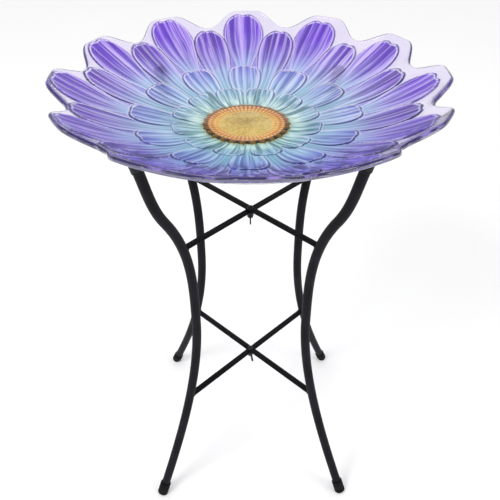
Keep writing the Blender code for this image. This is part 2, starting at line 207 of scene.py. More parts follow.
def flower_relief(radius, angle):
    """Height in mm of the pressed flower above the bare basin."""
    height = 0.0 * radius
    for ring in RINGS:
        inset, lean, share, _ = petal_at(radius, angle, ring)
        inside = smooth(inset, -0.5, 1.1)
        rise = ring["step"] * smooth(share, -0.1, 1.0)
        lip = 0.45 * smooth(inset, 3.6, 0.8)
        fold = 0.40 * apply("COSINE", lean * 8.0) * smooth(share, 0.1, 0.6)
        height = between(height, rise + lip + fold, inside)
    fringe = 0.40 * apply("COSINE", angle * FRINGE_STROKES) * smooth(radius, FRINGE_RADIUS, 56.0)
    height = between(height, 0.6 + fringe, smooth(radius, FRINGE_RADIUS, 60.0))
    ribs = 0.28 * apply("COSINE", angle * DISC_RIBS) * smooth(radius, DOME_RADIUS, DOME_RADIUS + 4)
    valley = 0.5 * smooth(apply("ABSOLUTE", radius - DOME_RADIUS - 1.0), 2.0, 0.0)
    crown = 1.0 - (radius / DOME_RADIUS) * (radius / DOME_RADIUS)
    dome = DOME_HEIGHT * crown * smooth(radius, DOME_RADIUS + 0.1, DOME_RADIUS - 0.1)
    disc = DISC_HEIGHT + ribs - valley + dome
    edge = disc_edge(angle)
    return between(height, disc, smooth(radius, edge + 0.9, edge - 0.9))


# ---------------------------------------------------------------- dish

# Lengths in mm. The shoulder and the valley of a lobe are shares of the way from its tip to
# the notch beside it.
DISH_TIP_RADIUS = 228.6
DISH_NOTCH_DEPTH = 21.0
LOBE_SHOULDER = 0.25
LOBE_VALLEY = 0.95
DISH_TURN = math.radians(0.7)
DISH_DEPTH = 64.5
DISH_CURVE_POWER = 2.7
GLASS_THICKNESS = 5.5
DISH_AROUND = 720
FACE_ROWS = 112
EDGE_ROWS = 6
UNDER_ROWS = 16
EDGE_REACH = 2.4          # how far the rim's rounding stands out, along the glass
EDGE_INSET = 2.4          # from the rim to where its rounding starts on the face
PAINTED_SLOT, BARE_SLOT, RIM_SHADE_SLOT = 0, 1, 2


def rim_radius(angle):
    from_tip = np.abs((angle / SECTOR + 0.5) % 1.0 - 0.5) * 2
    return DISH_TIP_RADIUS - DISH_NOTCH_DEPTH * smooth(from_tip, LOBE_SHOULDER, LOBE_VALLEY)


def basin_height(radius):
    return DISH_DEPTH * (radius / DISH_TIP_RADIUS) ** DISH_CURVE_POWER


def basin_slope(radius):
    return (DISH_DEPTH * DISH_CURVE_POWER / DISH_TIP_RADIUS
            * (radius / DISH_TIP_RADIUS) ** (DISH_CURVE_POWER - 1))


def dish_rows(angle):
    """Rows of (radius, height) points in mm, from the middle over the rim and under to the middle."""
    rim = rim_radius(angle) - EDGE_INSET
    round_rim = (DISH_TIP_RADIUS - DISH_NOTCH_DEPTH / 2) * np.ones_like(rim)
    rows = []
    for row in range(1, FACE_ROWS + 1):
        share = row / FACE_ROWS
        pull = float(smooth(share, 0.55, 1.0))
        radius = share * between(round_rim, rim, pull)
        place = from_flower_center(radius * np.cos(angle), radius * np.sin(angle))
        rows.append((radius, basin_height(radius) + flower_relief(*place)))
    slope = basin_slope(rim)
    length = np.sqrt(1 + slope * slope)
    out_r, out_z, up_r, up_z = 1 / length, slope / length, -slope / length, 1 / length
    half = GLASS_THICKNESS / 2
    middle_r, middle_z = rim - up_r * half, basin_height(rim) - up_z * half
    for row in range(1, EDGE_ROWS):
        turn = math.pi * row / EDGE_ROWS
        reach, lift = EDGE_REACH * math.sin(turn), half * math.cos(turn)
        rows.append((middle_r + out_r * reach + up_r * lift, middle_z + out_z * reach + up_z * lift))
    for row in range(UNDER_ROWS, 0, -1):
        radius = rim * row / UNDER_ROWS
        slope = basin_slope(radius)
        length = np.sqrt(1 + slope * slope)
        rows.append((radius + GLASS_THICKNESS * slope / length,
                     basin_height(radius) - GLASS_THICKNESS / length))
    return rows


def make_object(name, mesh):
    made = bpy.data.objects.new(name, mesh)
    scene.collection.objects.link(made)
    return made


def grid_faces(rows, around, first=0):
    """Quads between rows of points that each go once around."""
    index = np.arange(rows * around).reshape(rows, around) + first
    after = np.roll(index, -1, axis=1)
    return np.stack([index[:-1], index[1:], after[1:], after[:-1]], axis=-1).reshape(-1, 4)


def dish_mesh():
    angle = np.arange(DISH_AROUND) * (2 * math.pi / DISH_AROUND)
    rows = dish_rows(angle)
    points = [np.stack([radius * np.cos(angle), radius * np.sin(angle), height], axis=-1)
              for radius, height in rows]
    top = float(flower_relief(*from_flower_center(np.array(1e-6), np.array(0.0))))
    points = np.concatenate(points + [np.array([[0.0, 0.0, top], [0.0, 0.0, -GLASS_THICKNESS]])]) * MM
    faces = grid_faces(len(rows), DISH_AROUND).tolist()
    top_pole, under_pole = len(points) - 2, len(points) - 1
    last = (len(rows) - 1) * DISH_AROUND
    for step in range(DISH_AROUND):
        after = (step + 1) % DISH_AROUND
        faces.append((top_pole, step, after))
        faces.append((under_pole, last + after, last + step))
    mesh = bpy.data.meshes.new("flower_dish")
    mesh.from_pydata(points.tolist(), [], faces)
    # The upper round of the rim gets the dark violet glass of painted shade
    line_start = FACE_ROWS * DISH_AROUND
    line_end = (FACE_ROWS + EDGE_ROWS // 2 - 1) * DISH_AROUND
    slots = np.full(len(faces), PAINTED_SLOT, dtype=np.int32)
    slots[line_start:line_end] = RIM_SHADE_SLOT
    slots[line_end:last] = BARE_SLOT
    slots[last + 1::2] = BARE_SLOT
    mesh.materials.append(painted_glass())
    mesh.materials.append(bare_glass())
    mesh.materials.append(rim_shade_glass())
    mesh.polygons.foreach_set("material_index", slots)
    mesh.shade_smooth()
    return mesh


# ---------------------------------------------------------------- materials

def linear(red, green, blue):
    """A colour given as it looks on screen, as the shader wants it."""
    return tuple(((part + 0.055) / 1.055) ** 2.4 if part > 0.04045 else part / 12.92
                 for part in (red, green, blue)) + (1.0,)


def new_material(name, **values):
    """A Principled material, its plain values set on the shader's own sockets."""
    material = bpy.data.materials.new(name)
    material.use_nodes = True
    tree = material.node_tree
    shader = tree.nodes["Principled BSDF"]
    for socket, value in values.items():
        shader.inputs[socket.replace("_", " ")].default_value = value
    return material, tree, shader


def node(tree, kind, settings=(), **values):
    """A node with its settings and its inputs filled in."""
    made = tree.nodes.new(kind)
    for key, value in dict(settings).items():
        setattr(made, key, value)
    for name, value in values.items():
        connect(tree, value, made.inputs[name.replace("_", " ")])
    return made


def object_point(tree):
    return node(tree, "ShaderNodeTexCoord").outputs["Object"]


def noise(tree, point, scale, detail=2.0, roughness=0.5):
    made = node(tree, "ShaderNodeTexNoise", Vector=point, Scale=scale, Detail=detail, Roughness=roughness)
    return Field(tree, made.outputs["Fac"])


def vector(tree, x, y, z):
    return node(tree, "ShaderNodeCombineXYZ", X=x, Y=y, Z=z).outputs[0]


def blend(tree, share, low, high, kind="MIX"):
    """A colour between two colours. A Mix node's colours are its sockets 6 and 7."""
    made = node(tree, "ShaderNodeMix", dict(data_type="RGBA", blend_type=kind))
    for value, place in ((share, 0), (low, 6), (high, 7)):
        connect(tree, value, made.inputs[place])
    return made.outputs[2]


def tinted(tree, share, color, tint):
    """A colour multiplied by a tint, by a share."""
    return blend(tree, share, color, tint, "MULTIPLY")


def ramp(tree, share, stops):
    made = tree.nodes.new("ShaderNodeValToRGB")
    elements = made.color_ramp.elements
    while len(elements) < len(stops):
        elements.new(0.5)
    for element, (place, color) in zip(elements, stops):
        element.position = place
        element.color = color
    connect(tree, share, made.inputs["Fac"])
    return made.outputs["Color"]


def bump(tree, height, depth, strength=1.0, normal=None):
    """A bumped normal for a height in units of depth metres."""
    made = node(tree, "ShaderNodeBump", Height=height, Distance=depth, Strength=strength)
    if normal:
        tree.links.new(normal, made.inputs["Normal"])
    return made.outputs["Normal"]


# Colours as they look on screen: along a petal from root to tip, one row for each ring
PETAL_COLORS = (
    ((0.00, (0.56, 0.76, 0.86)), (0.20, (0.63, 0.77, 0.92)), (0.46, (0.56, 0.52, 0.89)),
     (0.74, (0.41, 0.18, 0.86)), (1.00, (0.34, 0.11, 0.80))),
    ((0.00, (0.50, 0.74, 0.82)), (0.34, (0.60, 0.77, 0.90)), (0.56, (0.52, 0.50, 0.86)),
     (0.80, (0.38, 0.18, 0.78)), (1.00, (0.31, 0.12, 0.70))),
    ((0.00, (0.54, 0.78, 0.83)), (0.45, (0.60, 0.77, 0.89)), (0.78, (0.47, 0.54, 0.86)),
     (1.00, (0.34, 0.32, 0.75))),
    ((0.00, (0.58, 0.80, 0.82)), (0.50, (0.60, 0.79, 0.85)), (1.00, (0.44, 0.60, 0.79))),
)
STREAK_COLORS = ((0.22, 0.06, 0.62), (0.21, 0.09, 0.54), (0.24, 0.34, 0.66), (0.28, 0.48, 0.62))
GLEAM_COLORS = ((0.84, 0.76, 1.00), (0.84, 0.80, 1.00), (0.82, 0.88, 0.99), (0.80, 0.92, 0.97))
OUTLINE_COLORS = ((0.30, 0.17, 0.58), (0.15, 0.10, 0.42), (0.15, 0.20, 0.48), (0.18, 0.32, 0.52))
MARGIN_COLOR = (0.92, 0.88, 0.98)
BETWEEN_COLORS = ((0.50, 0.74, 0.80), (0.50, 0.50, 0.84))
# Colour of the painted highlights along the petals' outlines
EDGE_HIGHLIGHT_COLOR = (0.90, 0.89, 1.00)
# Painted shade: tints that darken the paint at the front, and darken it and make it more violet at the
# back
FRONT_SHADE_TINTS = ((0.66, 0.84, 0.86, 1.0), (0.62, 0.55, 0.84, 1.0))     # of the front: inner, outer
BACK_SHADE_TINT = (0.84, 0.70, 0.95, 1.0)


def painted_petal(tree, ring, colors, point_values):
    """A petal's colour, its distance inside its outline, its outline's strength and its grain."""
    stops, streak, gleam, _ = colors
    radius, angle, wash = point_values
    inset, lean, share, number = petal_at(radius, angle, ring)
    seed = number * 7.3 + ring["tip"]
    brush = noise(tree, vector(tree, lean * 3.4, share * 0.50, seed), 1.0, 3.0, 0.6)
    hair = noise(tree, vector(tree, lean * 12.0, share * 1.4, number * 3.1), 1.0, 2.0)
    stops = [(place, linear(*shade)) for place, shade in stops]
    color = ramp(tree, share + (wash - 0.5) * 0.25, stops)
    grown = smooth(share, 0.05, 0.50)
    color = blend(tree, smooth(brush, 0.50, 0.60) * grown * 0.85, color, linear(*streak))
    color = blend(tree, smooth(brush, 0.46, 0.36) * grown * 0.75, color, linear(*gleam))
    color = blend(tree, smooth(hair, 0.52, 0.68) * 0.40, color, linear(*streak))
    ribs = apply("COSINE", lean * 15.0 + (brush - 0.5) * 12.0)
    color = blend(tree, smooth(ribs, 0.35, 0.95) * (0.25 + 0.35 * hair), color, linear(*gleam))
    color = blend(tree, smooth(ribs, -0.35, -0.95) * (0.20 + 0.25 * grown), color, linear(*streak))
    # Painted highlight: a pale line just inside the petal's outline
    inner_edge_highlight = smooth(apply("ABSOLUTE", inset - 2.0), 1.3, 0.3) * smooth(hair, 0.30, 0.60) * 0.9
    color = blend(tree, inner_edge_highlight, color, linear(*EDGE_HIGHLIGHT_COLOR))
    line = smooth(apply("ABSOLUTE", inset + 0.1), 1.45, 0.45) * (0.55 + 0.45 * smooth(share, 0.3, 0.9))
    return color, inset, line * smooth(wash, 0.25, 0.55), hair * 0.25 + brush * 0.4 + ribs * 0.22


def flower_center(tree, radius, angle, front, point, patch):
    """The gold dome, its rusty beaded band and its edge band, with dark teeth of painted shade on the
    disc's side wall at the front; then their grain.
    """
    ribs = 0.5 + 0.5 * apply("COSINE", angle * DISC_RIBS)
    band = ramp(tree, smooth(radius, DOME_RADIUS, DISC_RADIUS),
                [(0.0, linear(0.84, 0.66, 0.36)), (0.40, linear(0.80, 0.52, 0.30)),
                 (0.75, linear(0.74, 0.44, 0.30)), (1.0, linear(0.60, 0.38, 0.22))])
    rings = 0.5 + 0.5 * apply("COSINE", radius * 1.0)
    beads = smooth(ribs * rings + (patch - 0.5) * 0.8, 0.10, 0.60)
    band = blend(tree, beads * 0.8, band, linear(0.90, 0.77, 0.45))
    gaps = smooth(ribs + (patch - 0.5) * 1.6, 0.30, 0.0)
    band = blend(tree, gaps * 0.45, band, linear(0.52, 0.32, 0.20))
    pits = Field(tree, node(tree, "ShaderNodeTexVoronoi", Vector=point, Scale=300.0).outputs["Distance"])
    dome = blend(tree, smooth(pits, 0.30, 0.70) * 0.5,
                 linear(0.82, 0.71, 0.38), linear(0.60, 0.47, 0.20))
    dome = blend(tree, smooth(patch, 0.50, 0.66) * 0.4, dome, linear(0.88, 0.79, 0.50))
    color = blend(tree, smooth(radius, DOME_RADIUS - 1.0, DOME_RADIUS + 1.5), dome, band)
    # The edge band: dark olive gaps and dull gold teeth at the front, as painted shade on the disc's side
    # wall, and a flat brown towards the back; strongest at the front
    edge_band_and_wall_shade = blend(tree, disc_teeth(angle), linear(0.10, 0.06, 0.01), linear(0.44, 0.32, 0.06))
    edge_band_and_wall_shade = blend(tree, front, linear(0.44, 0.34, 0.28), edge_band_and_wall_shade)
    at_edge = smooth(radius, DISC_RADIUS - 8.5, DISC_RADIUS - 5.0)
    color = blend(tree, at_edge * (0.65 + 0.35 * front), color, edge_band_and_wall_shade)
    return color, pits * 0.6 + ribs * 0.4


def painted_glass():
    """The dish's face: petals in see-through paint under gloss, with a clear margin.

    The paint is tinted darker and richer at the front and darker and more violet at the back, as painted
    shade;
    the front is also duller, and near the front rim it is mottled with dark navy painted shade and pale
    painted highlights.
    """
    material, tree, shader = new_material(
        "painted_flower_glass", IOR=1.5, Specular_IOR_Level=0.30, Coat_Roughness=0.03, Coat_IOR=1.5)
    point = object_point(tree)
    apart = node(tree, "ShaderNodeSeparateXYZ", Vector=point)
    x, y = Field(tree, apart.outputs["X"]) * 1000.0, Field(tree, apart.outputs["Y"]) * 1000.0
    radius, angle = from_flower_center(x, y)
    wash = noise(tree, point, 18.0, 3.0)
    patch = noise(tree, point, 60.0, 2.0)

    inner, outer = (linear(*shade) for shade in BETWEEN_COLORS)
    color = blend(tree, smooth(radius, 90.0, 140.0), inner, outer)
    color = blend(tree, smooth(radius, 176.0, 200.0), color, linear(*MARGIN_COLOR))
    painted = smooth(radius, 200.0, 176.0)
    fine = 0.0 * radius
    for ring, *colors in zip(RINGS, PETAL_COLORS, STREAK_COLORS, GLEAM_COLORS, OUTLINE_COLORS):
        outline_color = linear(*colors[-1])
        petal, inset, line, grain = painted_petal(tree, ring, colors, (radius, angle, wash))
        # Painted highlight: a pale line just outside the petal's outline, on what lies beneath
        outer_edge_highlight = smooth(apply("ABSOLUTE", inset + 2.4), 1.4, 0.4) * 0.45 * smooth(wash, 0.35, 0.6)
        color = blend(tree, outer_edge_highlight, color, linear(*EDGE_HIGHLIGHT_COLOR))
        inside = smooth(inset, -0.4, 0.4)
        color = blend(tree, inside, color, petal)
        color = blend(tree, line, color, outline_color)
        painted = apply("MAXIMUM", painted, inside)
        fine = between(fine, grain, inside)

    strokes = noise(tree, vector(tree, apply("COSINE", angle) * 15.0, apply("SINE", angle) * 15.0,
                                 radius * 0.012), 1.0, 2.0, 0.6)
    fringe = ramp(tree, strokes, [(0.38, linear(0.12, 0.34, 0.40)), (0.48, linear(0.44, 0.66, 0.68)),
                                  (0.58, linear(0.86, 0.97, 0.93))])
    fringe = blend(tree, smooth(radius, 60.0, 50.0) * 0.6, fringe, linear(0.58, 0.64, 0.34))
    ragged_radius = radius + (strokes - 0.5) * 90.0
    in_fringe = smooth(ragged_radius, FRINGE_RADIUS + 6.0, FRINGE_RADIUS - 4.0)
    color = blend(tree, in_fringe * 0.9, color, fringe)
    fine = between(fine, strokes, in_fringe)

    # Near the front rim: dark navy patches of painted shade and pale patches of painted highlight
    shade_and_highlight_mottle = noise(tree, vector(tree, angle * 13.0, radius * 0.045, 3.0), 1.0, 3.0, 0.65)
    front_rim_shading = smooth(y, -92.0, -130.0) * smooth(radius, 108.0, 138.0) * painted
    color = blend(tree, smooth(shade_and_highlight_mottle, 0.50, 0.58) * front_rim_shading * 0.75, color, linear(0.13, 0.13, 0.42))
    color = blend(tree, smooth(shade_and_highlight_mottle, 0.44, 0.36) * front_rim_shading * 0.60, color, linear(0.80, 0.88, 0.96))

    # Painted shade: the paint is tinted darker and more violet at the back, and darker at the front, less
    # so at the sides
    back = smooth(y, 70.0, 170.0) * painted
    color = tinted(tree, back, color, BACK_SHADE_TINT)
    front = smooth(y, 40.0, -150.0) * (1.0 - 0.5 * smooth(apply("ABSOLUTE", x), 70.0, 170.0))
    front_shade_tint = blend(tree, smooth(radius, 90.0, 170.0), *FRONT_SHADE_TINTS)
    color = tinted(tree, front * painted, color, front_shade_tint)

    # The disc's edge band is painted darkest at the front, as painted shade on its side wall
    center, grain = flower_center(tree, radius, angle, smooth(y, 12.0, -22.0), point, patch)
    edge = disc_edge(angle)
    in_disc = smooth(radius, edge + 0.9, edge + 0.3)
    color = blend(tree, in_disc, color, center)
    fine = between(fine, grain, in_disc)

    tree.links.new(color, shader.inputs["Base Color"])
    clear = between(0.90, 0.48 - 0.34 * front, painted) * (1.0 - 0.8 * in_disc)
    connect(tree, clear, shader.inputs["Transmission Weight"])
    connect(tree, (0.40 - 0.34 * in_disc) * (1.0 - 0.85 * front), shader.inputs["Coat Weight"])
    connect(tree, between(0.04, 0.24 + 0.14 * front, painted) + wash * 0.05, shader.inputs["Roughness"])
    ripple = noise(tree, point, 45.0, 1.0)
    tree.links.new(bump(tree, fine + ripple * 0.5, MM, 0.8), shader.inputs["Normal"])
    return material


def rim_shade_glass():
    """The upper round of the rim, painted dark violet as painted shade for the dark line of the glass's
    edge.
    """
    material, tree, shader = new_material(
        "violet_rim_glass", IOR=1.5, Specular_IOR_Level=0.3, Coat_Weight=0.3, Coat_Roughness=0.05)
    point = object_point(tree)
    patch = noise(tree, point, 42.0, 3.0)
    tint = ramp(tree, patch, [(0.35, linear(0.16, 0.13, 0.38)), (0.55, linear(0.28, 0.22, 0.54)),
                              (0.72, linear(0.60, 0.52, 0.82))])
    y = Field(tree, node(tree, "ShaderNodeSeparateXYZ", Vector=point).outputs["Y"])
    # Painted shade: darker still towards the front
    front = smooth(y, -0.02, -0.16) * smooth(patch, 0.68, 0.52)
    tint = blend(tree, front, tint, linear(0.12, 0.09, 0.34))
    tree.links.new(tint, shader.inputs["Base Color"])
    connect(tree, 0.30 * patch, shader.inputs["Transmission Weight"])
    connect(tree, 0.12 + noise(tree, point, 140.0) * 0.10, shader.inputs["Roughness"])
    tree.links.new(bump(tree, patch, MM, 0.5), shader.inputs["Normal"])
    return material


def bare_glass():
    """The dish's clear underside, with the faint waves of pressed glass."""
    material, tree, shader = new_material(
        "pressed_glass_underside", IOR=1.5, Transmission_Weight=0.92, Coat_Weight=0.5, Coat_Roughness=0.05)
    point = object_point(tree)
    wave = noise(tree, point, 30.0, 2.0)
    tint = ramp(tree, wave, [(0.3, linear(0.90, 0.89, 0.98)), (0.7, linear(0.96, 0.95, 1.0))])
    tree.links.new(tint, shader.inputs["Base Color"])
    connect(tree, 0.03 + noise(tree, point, 140.0) * 0.08, shader.inputs["Roughness"])
    tree.links.new(bump(tree, wave, MM, 0.5), shader.inputs["Normal"])
    return material


def coated_steel(name, color, roughness, sheen):
    """Satin black powder coat: orange peel, faint drips of tone, dust-grey scuffs and pinholes."""
    material, tree, shader = new_material(name, Specular_IOR_Level=sheen)
    point = object_point(tree)
    peel = noise(tree, point, 850.0, 2.0)
    cloud = noise(tree, point, 26.0, 3.0)
    scuff = smooth(noise(tree, point, 90.0, 5.0, 0.72), 0.56, 0.72)
    cells = node(tree, "ShaderNodeTexVoronoi", Vector=point, Scale=420.0)
    pores = Field(tree, cells.outputs["Distance"])
    paler = linear(*(part * 1.5 + 0.01 for part in color))
    tone = ramp(tree, cloud, [(0.35, linear(*color)), (0.65, paler)])
    tone = blend(tree, scuff * 0.35, tone, linear(*(part + 0.12 for part in color)))
    tree.links.new(tone, shader.inputs["Base Color"])
    connect(tree, roughness + peel * 0.10 + scuff * 0.12, shader.inputs["Roughness"])
    fine = bump(tree, smooth(pores, 0.0, 0.12), 0.05 * MM, 0.4)
    tree.links.new(bump(tree, peel, 0.06 * MM, 0.8, fine), shader.inputs["Normal"])
    return material


def molded_cap(name, color, roughness, grain):
    """Soft black rubber or vinyl: fine grain, a bloom of dust and rubbed patches."""
    material, tree, shader = new_material(name, Specular_IOR_Level=0.12)
    point = object_point(tree)
    speck = noise(tree, point, grain, 3.0, 0.7)
    bloom = smooth(noise(tree, point, 55.0, 4.0), 0.45, 0.70)
    rubbed = smooth(noise(tree, point, 140.0, 2.0), 0.55, 0.70)
    tone = blend(tree, bloom * 0.30, linear(*color), linear(*(part + 0.13 for part in color)))
    tone = blend(tree, rubbed * 0.25, tone, linear(*(part * 0.6 for part in color)))
    tree.links.new(tone, shader.inputs["Base Color"])
    connect(tree, roughness + speck * 0.12 - rubbed * 0.15, shader.inputs["Roughness"])
    tree.links.new(bump(tree, speck, 0.08 * MM, 0.8), shader.inputs["Normal"])
    return material


def black_zinc(name, color):
    """Blackened hardware: turning lines, rub-bright specks and an oily sheen."""
    material, tree, shader = new_material(name)
    point = object_point(tree)
    height = Field(tree, node(tree, "ShaderNodeSeparateXYZ", Vector=point).outputs["Z"])
    lines = noise(tree, vector(tree, 0.0, 0.0, height * 4000.0), 1.0)
    cloud = noise(tree, point, 160.0, 3.0)
    bright = smooth(noise(tree, point, 380.0, 4.0, 0.7), 0.62, 0.74)
    tone = ramp(tree, cloud, [(0.35, linear(*color)), (0.65, linear(*(part + 0.05 for part in color)))])
    tone = blend(tree, bright * 0.6, tone, linear(0.38, 0.38, 0.41))
    tree.links.new(tone, shader.inputs["Base Color"])
    connect(tree, 0.55 + bright * 0.4, shader.inputs["Metallic"])
    connect(tree, 0.34 + cloud * 0.16, shader.inputs["Roughness"])
    tree.links.new(bump(tree, lines, 0.05 * MM, 0.7), shader.inputs["Normal"])
    return material


# ---------------------------------------------------------------- stand

# A leg's centreline, in mm: it is straight at its foot and its top and bends in between.
# Radius is the distance from the centre axis, and slope is outwards for each mm up.
FOOT_RADIUS, FOOT_SLOPE, FOOT_STRAIGHT = 199.5, -0.468, 30.0
WAIST_HEIGHT, WAIST_RADIUS = 311.7, 105.7
SHOULDER_HEIGHT, SHOULDER_RADIUS, SHOULDER_SLOPE = 495.0, 141.1, 0.61
LEG_TOP_HEIGHT, LEG_TOP_RADIUS, LEG_TOP_SLOPE, TOP_STRAIGHT = 587.4, 172.0, 0.261, 20.0
LEG_STATIONS = (
    (FOOT_STRAIGHT, FOOT_RADIUS + FOOT_SLOPE * FOOT_STRAIGHT, FOOT_SLOPE),
    (WAIST_HEIGHT, WAIST_RADIUS, 0.0),
    (SHOULDER_HEIGHT, SHOULDER_RADIUS, SHOULDER_SLOPE),
    (LEG_TOP_HEIGHT - TOP_STRAIGHT, LEG_TOP_RADIUS - LEG_TOP_SLOPE * TOP_STRAIGHT, LEG_TOP_SLOPE),
)

TUBE_RADIUS = 6.35
TUBE_END_ROUNDING = 0.4
CAP_BORE_RADIUS = 6.45
CAP_GAP = 0.3
FOOT_CAP_RADIUS, FOOT_CAP_LENGTH, FOOT_CAP_END, FOOT_CAP_EDGE = 8.0, 20.0, 4.0, 1.5
FOOT_CAP_GROOVES = (7.0, 16.5)
FOOT_FLAT_DEPTH = 2.0
TOP_CAP_RADIUS, TOP_CAP_LENGTH, TOP_CAP_END, TOP_CAP_EDGE = 7.5, 15.0, 3.0, 3.0
TOP_CAP_GROOVES = (12.0,)
GROOVE_DEPTH, GROOVE_FLOOR, GROOVE_MOUTH = 0.35, 0.25, 0.7
STRIP_WIDTH, STRIP_THICKNESS, STRIP_EDGE = 9.5, 2.0, 0.6
STRIP_STEPS = 61
WELD_OVERLAP = 1.2        # how far a strip's end reaches into the tube
BEAD_RADIUS, BEAD_RIPPLE, BEAD_RIPPLES = 0.95, 0.18, 24.0
BEAD_HALF_ANGLE = 47
BOLT_HOLE_RADIUS = 2.7
AROUND_TUBE, AROUND_BEAD, AROUND_LATHED = 32, 10, 40
TUBE_STEPS, BEAD_STEPS = 110, 25
SHARP_ANGLE = math.radians(38)

FOOT_TILT = math.atan(-FOOT_SLOPE)
FOOT_END_HEIGHT = ((FOOT_CAP_RADIUS - FOOT_CAP_EDGE) * math.sin(FOOT_TILT)
                   + FOOT_CAP_EDGE * (1 - math.cos(FOOT_TILT)) - FOOT_FLAT_DEPTH)

AZIMUTHS = {"back_left": 135, "front_right": 315, "back_right": 45, "front_left": 225}
FRAMES = {"back_left": "frame_a", "front_right": "frame_a",
          "back_right": "frame_b", "front_left": "frame_b"}


def leg_radius(height):
    """Distance of a leg's centreline from the centre axis at a height."""
    if height <= LEG_STATIONS[0][0]:
        return FOOT_RADIUS + FOOT_SLOPE * height
    for (low, low_r, low_slope), (high, high_r, high_slope) in zip(LEG_STATIONS, LEG_STATIONS[1:]):
        if height <= high:
            span = high - low
            t = (height - low) / span
            return (low_r * (2 * t**3 - 3 * t**2 + 1) + low_slope * span * (t**3 - 2 * t**2 + t)
                    + high_r * (3 * t**2 - 2 * t**3) + high_slope * span * (t**3 - t**2))
    return LEG_TOP_RADIUS + LEG_TOP_SLOPE * (height - LEG_TOP_HEIGHT)


def closed_rings(rings):
    """Points and faces of a surface through rings of points, closed at both ends."""
    around = len(rings[0])
    points = [point for ring in rings for point in ring]
    faces = grid_faces(len(rings), around).tolist()
    for ring, turn in ((0, 1), (len(rings) - 1, -1)):
        middle = np.mean(rings[ring], axis=0)
        points.append(middle)
        for step in range(around):
            pair = (ring * around + step, ring * around + (step + 1) % around)
            faces.append((len(points) - 1, *pair[::turn]))
    return np.array(points), [face[::-1] for face in faces]


def swept(path, radius, around):
    """A round bar along points (x, z) in the XZ plane; radius may change from point to point."""
    path = np.array(path, float)
    radius = np.broadcast_to(radius, len(path))
    ahead = np.gradient(path, axis=0)
    ahead /= np.linalg.norm(ahead, axis=1)[:, None]
    turn = np.arange(around) * (2 * math.pi / around)
    rings = []
    for (x, z), (ahead_x, ahead_z), size in zip(path, ahead, radius):
        out = size * np.cos(turn)
        rings.append(np.stack([x + ahead_z * out, size * np.sin(turn), z - ahead_x * out], axis=-1))
    return closed_rings(rings)


def lathed(profile):
    """A profile of (radius, height) points turned about Z, its two ends closed with flat fans."""
    turn = np.arange(AROUND_LATHED) * (2 * math.pi / AROUND_LATHED)
    level = np.ones(AROUND_LATHED)
    rings = [np.stack([radius * np.cos(turn), radius * np.sin(turn), height * level], axis=-1)
             for radius, height in profile]
    return closed_rings(rings)


def joined(*shapes):
    """Several (points, faces) as one."""
    points, faces, first = [], [], 0
    for shape_points, shape_faces in shapes:
        points.append(shape_points)
        faces += [tuple(index + first for index in face) for face in shape_faces]
        first += len(shape_points)
    return np.concatenate(points), faces


def moved(shape, matrix):
    points, faces = shape
    turned = np.array(matrix.to_3x3())
    return points @ turned.T + np.array(matrix.translation), faces


def turned_about_z(shape, degrees):
    return moved(shape, Matrix.Rotation(math.radians(degrees), 4, "Z"))


def on_axis(shape, radius, height, slope, downward=False):
    """Set a turned piece on a leg's end: its Z runs along the leg, up or down."""
    tilt = math.atan(slope) + (math.pi if downward else 0.0)
    return moved(shape, Matrix.Translation((radius, 0.0, height)) @ Matrix.Rotation(tilt, 4, "Y"))


def quarter(center, radius, start, end, steps=8):
    """Points on an arc about a centre, between two angles in degrees."""
    angles = np.radians(np.linspace(start, end, steps + 1))
    return [(center[0] + radius * math.cos(angle), center[1] + radius * math.sin(angle))
            for angle in angles]


def cap_profile(radius, length, end, edge, grooves):
    """A cap from the middle of its closed end, round its edge, up its side and into its bore."""
    side = [(radius, edge + 0.4)]
    for height in grooves:
        side += [(radius, height - GROOVE_MOUTH), (radius - GROOVE_DEPTH, height - GROOVE_FLOOR),
                 (radius - GROOVE_DEPTH, height + GROOVE_FLOOR), (radius, height + GROOVE_MOUTH)]
    lip = quarter((radius - 0.5, length - 0.5), 0.5, 0, 90, 4) + quarter(
        (CAP_BORE_RADIUS + 0.3, length - 0.3), 0.3, 90, 180, 3)
    return ([(0.05, 0.0)] + quarter((radius - edge, edge), edge, -90, 0) + side + lip
            + [(CAP_BORE_RADIUS, end + 0.6), (CAP_BORE_RADIUS - 0.6, end), (0.05, end)])


def stand_piece(name, shape, material, body, replaced):
    """Make a piece from millimetre points and tie it to what it stands for."""
    points, faces = shape
    mesh = bpy.data.meshes.new(name)
    mesh.from_pydata((points * MM).tolist(), [], [tuple(face) for face in faces])
    mesh.materials.append(material)
    mesh.shade_smooth()
    mesh.set_sharp_from_angle(angle=SHARP_ANGLE)
    piece = make_object(name, mesh)
    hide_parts(replaced)
    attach(piece, body)


def leg_shape():
    foot = FOOT_END_HEIGHT + (FOOT_CAP_END + CAP_GAP) * math.cos(math.atan(FOOT_SLOPE))
    heights = np.linspace(foot, LEG_TOP_HEIGHT, TUBE_STEPS)
    path = [(leg_radius(height), height) for height in heights]
    size = np.full(TUBE_STEPS, TUBE_RADIUS)
    size[[0, -1]] -= TUBE_END_ROUNDING
    return swept(path, size, AROUND_TUBE)


def foot_cap_shape():
    """A foot's cap, its lowest part worn flat on the floor."""
    cap = lathed(cap_profile(FOOT_CAP_RADIUS, FOOT_CAP_LENGTH, FOOT_CAP_END, FOOT_CAP_EDGE,
                             FOOT_CAP_GROOVES))
    points, faces = on_axis(cap, leg_radius(FOOT_END_HEIGHT), FOOT_END_HEIGHT, FOOT_SLOPE)
    points[:, 2] = np.maximum(points[:, 2], 0.0)
    return points, faces


